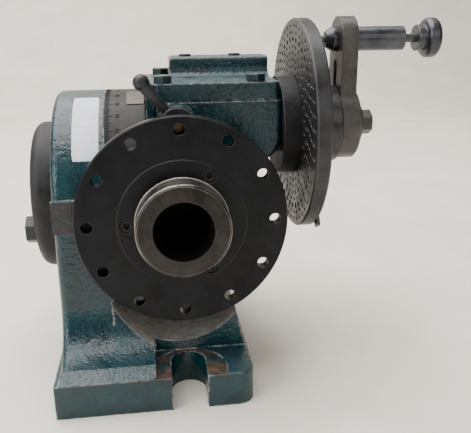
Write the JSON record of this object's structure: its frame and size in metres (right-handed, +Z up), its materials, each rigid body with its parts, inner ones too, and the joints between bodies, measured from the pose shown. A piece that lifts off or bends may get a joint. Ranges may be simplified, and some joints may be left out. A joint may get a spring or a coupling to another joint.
{
  "type": "dividing head",
  "caption": "Green cast swivel dividing head with drilled direct plate on the spindle nose, side index plate, crank and spring plunger, and slotted foot.",
  "frame": {"origin": "on the underside of the foot, below the crossing of the spindle axis and the swivel axis", "axes": "+Z up, -Y towards the spindle nose, +X towards the index crank"},
  "size_m": [0.3268, 0.262, 0.269],
  "materials": {
    "green_paint": "satin",
    "bare_iron": "satin",
    "ground_steel": "satin",
    "dark_steel": "satin",
    "bronze": "satin",
    "gasket_paper": "matte",
    "seal_rubber": "matte"
  },
  "bodies": {
    "base": {"base_casting": "green_paint"},
    "head": {"head_casting": "green_paint", "swivel_drum": "ground_steel", "clamp_disc": "bare_iron", "clamp_bolts": "dark_steel", "top_cover": "green_paint", "cover_gasket": "gasket_paper", "cover_bolts": "dark_steel", "oil_plugs": "dark_steel", "front_bearing_cup": "ground_steel", "rear_bearing_cup": "ground_steel", "front_seal": "seal_rubber", "rear_cover": "green_paint", "rear_cover_screws": "dark_steel", "worm_bush": "bronze", "thrust_washer": "bronze", "worm_flange": "bare_iron", "worm_flange_screws": "dark_steel", "index_plate": "ground_steel", "index_plate_screws": "dark_steel", "sector_spring": "dark_steel", "sector_collar": "ground_steel", "direct_pin_spring": "dark_steel"},
    "spindle_group": {"spindle": "ground_steel", "direct_plate": "ground_steel", "direct_plate_screws": "dark_steel", "worm_wheel": "bronze", "wheel_key": "dark_steel", "spacer_sleeve": "ground_steel", "front_bearing_cone": "ground_steel", "rear_bearing_cone": "ground_steel", "front_bearing_rollers": "ground_steel", "rear_bearing_rollers": "ground_steel", "lock_washer": "dark_steel", "bearing_nut": "dark_steel"},
    "crank": {"worm_shaft": "ground_steel", "crank_arm": "bare_iron", "crank_key": "dark_steel", "crank_washer": "ground_steel", "crank_nut": "dark_steel", "plunger_sleeve": "ground_steel", "plunger_spring": "dark_steel"},
    "plunger": {"plunger_pin": "ground_steel", "plunger_knob": "bare_iron"},
    "pin": {"direct_pin": "bronze"},
    "lever": {"direct_lever": "ground_steel"},
    "leading_arm": {"leading_sector_arm": "ground_steel"},
    "trailing_arm": {"trailing_sector_arm": "ground_steel"}
  },
  "joints": [
    {"name": "head_tilt", "type": "hinge", "parent": "base", "child": "head", "pos_m": [0, 0, 0.13], "axis": [-1, 0, 0], "range_deg": [0, 90]},
    {"name": "crank_turn", "type": "hinge", "parent": "head", "child": "crank", "pos_m": [0, -0.032, 0.187], "axis": [1, 0, 0], "continuous": true},
    {"name": "spindle_spin", "type": "hinge", "parent": "head", "child": "spindle_group", "pos_m": [0, 0, 0.13], "axis": [0, 1, 0], "continuous": true},
    {"name": "plunger_slide", "type": "slide", "parent": "crank", "child": "plunger", "axis": [1, 0, 0], "range_m": [-0.0068, 0]},
    {"name": "lever_swing", "type": "hinge", "parent": "head", "child": "lever", "pos_m": [0, -0.079, 0.1969], "axis": [0, 1, 0], "range_deg": [0, 50]},
    {"name": "pin_slide", "type": "slide", "parent": "head", "child": "pin", "axis": [0, 1, 0], "range_m": [0, 0.005], "deforming": ["direct_pin_spring"]},
    {"name": "leading_arm_turn", "type": "hinge", "parent": "head", "child": "leading_arm", "pos_m": [0, -0.032, 0.187], "axis": [1, 0, 0], "range_deg": [0, 140]},
    {"name": "trailing_arm_turn", "type": "hinge", "parent": "head", "child": "trailing_arm", "pos_m": [0, -0.032, 0.187], "axis": [1, 0, 0], "range_deg": [-90, 0]}
  ],
  "couplings": [
    {"joint": "spindle_spin", "follows": "crank_turn", "ratio": -0.025},
    {"joint": "pin_slide", "follows": "lever_swing", "m_per_rad": 0.0057}
  ]
}
